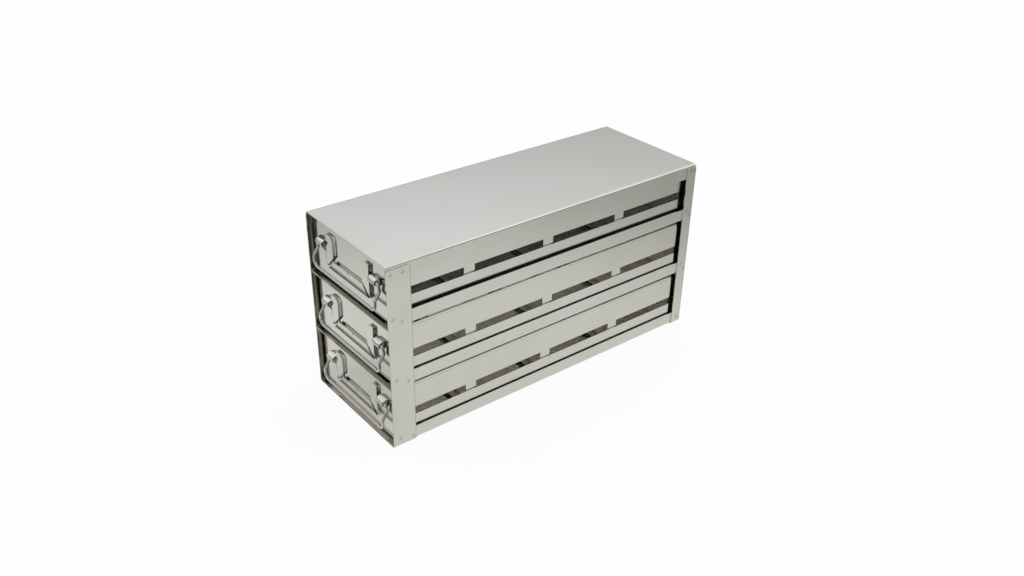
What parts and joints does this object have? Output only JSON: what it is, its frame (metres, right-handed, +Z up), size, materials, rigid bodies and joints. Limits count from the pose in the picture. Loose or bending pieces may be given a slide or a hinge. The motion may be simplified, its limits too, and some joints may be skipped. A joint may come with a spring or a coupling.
{
  "type": "freezer drawer rack",
  "caption": "Open stainless-steel rack for an upright freezer with sliding drawers, card holders and folding wire handles.",
  "frame": {"origin": "centre of the whole rack, handles included, on the floor", "axes": "+X to the right seen from the front, -Y towards the front, +Z up"},
  "size_m": [0.143, 0.3938, 0.196],
  "materials": {
    "cover": "satin",
    "straps": "satin with spot-weld marks",
    "rails": "satin",
    "drawers": "satin",
    "fronts": "satin",
    "holders": "satin",
    "wire": "drawn wire, smooth"
  },
  "bodies": {
    "frame": {"top_cover": "cover", "back_sheet": "cover", "front_hoop": "straps", "rear_hoop": "straps", "rail_left_1": "rails", "rail_left_2": "rails", "rail_left_3": "rails", "rail_right_1": "rails", "rail_right_2": "rails", "rail_right_3": "rails", "front_tie_1": "rails", "front_tie_2": "rails", "rear_tie_1": "rails", "rear_tie_2": "rails", "rear_stop_1": "rails", "rear_stop_2": "rails", "rear_stop_3": "rails"},
    "drawer_1": {"tray_1": "drawers", "side_left_1": "drawers", "side_right_1": "drawers", "rear_panel_1": "drawers", "front_panel_1": "fronts", "card_holder_1": "holders", "cross_strap_1_1": "drawers", "cross_strap_1_2": "drawers", "cross_strap_1_3": "drawers"},
    "handle_1": {"bail_1": "wire"},
    "drawer_2": {"tray_2": "drawers", "side_left_2": "drawers", "side_right_2": "drawers", "rear_panel_2": "drawers", "front_panel_2": "fronts", "card_holder_2": "holders", "cross_strap_2_1": "drawers", "cross_strap_2_2": "drawers", "cross_strap_2_3": "drawers"},
    "handle_2": {"bail_2": "wire"},
    "drawer_3": {"tray_3": "drawers", "side_left_3": "drawers", "side_right_3": "drawers", "rear_panel_3": "drawers", "front_panel_3": "fronts", "card_holder_3": "holders", "cross_strap_3_1": "drawers", "cross_strap_3_2": "drawers", "cross_strap_3_3": "drawers"},
    "handle_3": {"bail_3": "wire"}
  },
  "joints": [
    {"name": "drawer_1_slide", "type": "slide", "parent": "frame", "child": "drawer_1", "axis": [0, -1, 0], "range_m": [0, 0.3]},
    {"name": "handle_1_swing", "type": "hinge", "parent": "drawer_1", "child": "handle_1", "pos_m": [-0.0013, -0.19115, 0.1716], "axis": [-1, 0, 0], "range_deg": [0, 95]},
    {"name": "drawer_2_slide", "type": "slide", "parent": "frame", "child": "drawer_2", "axis": [0, -1, 0], "range_m": [0, 0.3]},
    {"name": "handle_2_swing", "type": "hinge", "parent": "drawer_2", "child": "handle_2", "pos_m": [0.0004, -0.19115, 0.1063], "axis": [-1, 0, 0], "range_deg": [0, 95]},
    {"name": "drawer_3_slide", "type": "slide", "parent": "frame", "child": "drawer_3", "axis": [0, -1, 0], "range_m": [0, 0.3]},
    {"name": "handle_3_swing", "type": "hinge", "parent": "drawer_3", "child": "handle_3", "pos_m": [0.0004, -0.19115, 0.041], "axis": [-1, 0, 0], "range_deg": [0, 95]}
  ]
}
